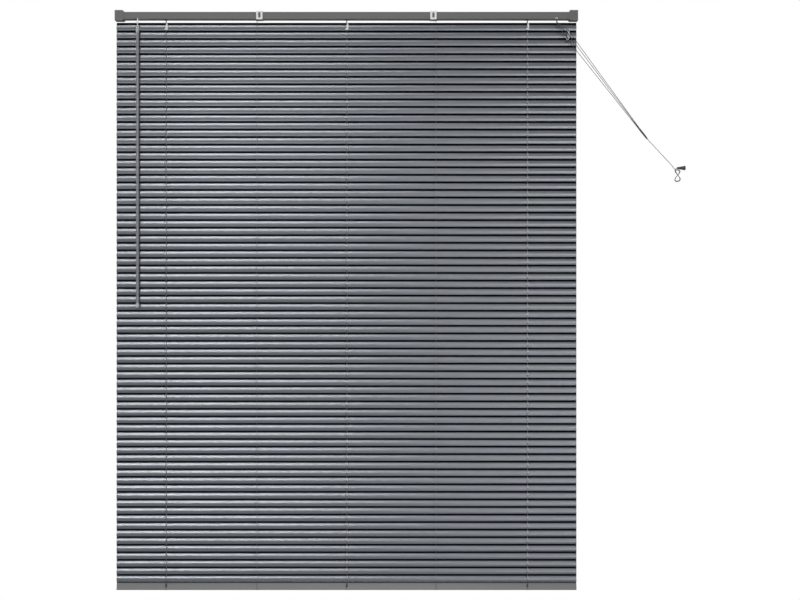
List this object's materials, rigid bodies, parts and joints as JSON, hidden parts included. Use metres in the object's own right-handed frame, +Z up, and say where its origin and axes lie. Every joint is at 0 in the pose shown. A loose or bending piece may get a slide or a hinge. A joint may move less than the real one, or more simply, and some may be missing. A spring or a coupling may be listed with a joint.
{
  "type": "venetian blind",
  "caption": "Closed aluminium venetian blind with box end brackets, cord ladders, tilt wand, cord lock, free pull cords with a tassel, and a wall cleat.",
  "frame": {"origin": "centre of the rectangle of the four wall screw holes in the two end brackets, in the plane of the wall", "axes": "+Z up, +Y into the wall, +X to the right as the blind is seen from the room, so the room is on the -Y side"},
  "size_m": [1.7248, 0.037, 1.7572],
  "materials": {
    "painted_steel": "satin grey stove enamel",
    "slat_aluminium": "metallic grey lacquer",
    "bare_steel": "zinc plated",
    "white_steel": "gloss white",
    "white_plastic": "plain",
    "grey_plastic": "plain",
    "clear_plastic": "clear moulding",
    "wand_plastic": "pale grey, nearly clear",
    "cream_plastic": "plain",
    "grey_cord": "braided",
    "dark_cord": "braided",
    "dark_plastic": "plain"
  },
  "bodies": {
    "blind": {"head_rail": "painted_steel", "rail_cap_left": "grey_plastic", "rail_cap_right": "grey_plastic", "bracket_left": "painted_steel", "bracket_right": "painted_steel", "hinge_pins": "bare_steel", "support_clip_left": "white_steel", "support_clip_right": "white_steel", "drum_cradle_1": "grey_plastic", "drum_cradle_2": "grey_plastic", "drum_cradle_3": "grey_plastic", "drum_cradle_4": "grey_plastic", "drum_cradle_5": "grey_plastic", "tilter_housing": "grey_plastic", "lock_housing": "grey_plastic", "lock_pin": "bare_steel", "cord_outlet": "cream_plastic", "cord_stops": "white_plastic", "ladder_1": "grey_cord", "ladder_2": "grey_cord", "ladder_3": "grey_cord", "ladder_4": "grey_cord", "ladder_5": "grey_cord", "slats": "slat_aluminium", "bottom_rail": "painted_steel", "bottom_cap_left": "grey_plastic", "bottom_cap_right": "grey_plastic", "ladder_plug_1": "grey_plastic", "ladder_plug_2": "grey_plastic", "ladder_plug_3": "grey_plastic", "ladder_plug_4": "grey_plastic", "ladder_plug_5": "grey_plastic", "lift_cord_left": "grey_cord", "lift_cord_centre": "grey_cord", "lift_cord_right": "grey_cord", "pull_cord_1": "grey_cord", "pull_cord_2": "grey_cord", "pull_cord_3": "grey_cord", "cord_spreader": "clear_plastic", "cord_joiner": "dark_plastic", "pull_cord_single": "dark_cord", "tassel": "dark_plastic", "cleat": "clear_plastic"},
    "tilt_shaft": {"tilt_rod": "bare_steel", "tilt_drum_1": "white_plastic", "tilt_drum_2": "white_plastic", "tilt_drum_3": "white_plastic", "tilt_drum_4": "white_plastic", "tilt_drum_5": "white_plastic", "tilter_gear": "white_plastic"},
    "worm": {"tilter_worm": "white_plastic"},
    "link": {"wand_link": "bare_steel"},
    "wand": {"wand_connector": "clear_plastic", "wand_rod": "wand_plastic", "wand_tip": "clear_plastic"},
    "left_cover": {"cover_left": "painted_steel"},
    "right_cover": {"cover_right": "painted_steel"},
    "pulley": {"lock_pulley": "white_plastic"},
    "roller": {"lock_roller": "bare_steel"}
  },
  "joints": [
    {"name": "worm_spin", "type": "hinge", "parent": "blind", "child": "worm", "pos_m": [-0.631, -0.02307, 0.00284], "axis": [0, 0.2419, 0.9703], "range_deg": [0, 2520]},
    {"name": "shaft_turn", "type": "hinge", "parent": "blind", "child": "tilt_shaft", "pos_m": [0, -0.0157, 0.001], "axis": [-1, 0, 0], "range_deg": [0, 210]},
    {"name": "link_swing", "type": "hinge", "parent": "worm", "child": "link", "pos_m": [-0.631, -0.02876, -0.01996], "axis": [-1, 0, 0], "range_deg": [0, 50]},
    {"name": "wand_swing", "type": "hinge", "parent": "link", "child": "wand", "pos_m": [-0.631, -0.02876, -0.02996], "axis": [0, 1, 0], "range_deg": [-40, 40]},
    {"name": "left_cover_swing", "type": "hinge", "parent": "blind", "child": "left_cover", "pos_m": [-0.688, -0.0286, 0.0141], "axis": [-1, 0, 0], "range_deg": [0, 110]},
    {"name": "right_cover_swing", "type": "hinge", "parent": "blind", "child": "right_cover", "pos_m": [0.688, -0.0286, 0.0141], "axis": [-1, 0, 0], "range_deg": [0, 110]},
    {"name": "pulley_spin", "type": "hinge", "parent": "blind", "child": "pulley", "pos_m": [0.627, -0.023, -0.0067], "axis": [0, 1, 0], "continuous": true},
    {"name": "roller_slide", "type": "slide", "parent": "blind", "child": "roller", "axis": [-0.866, 0, 0.5], "range_m": [0, 0.004]}
  ],
  "couplings": [
    {"joint": "shaft_turn", "follows": "worm_spin", "ratio": 0.083333}
  ]
}
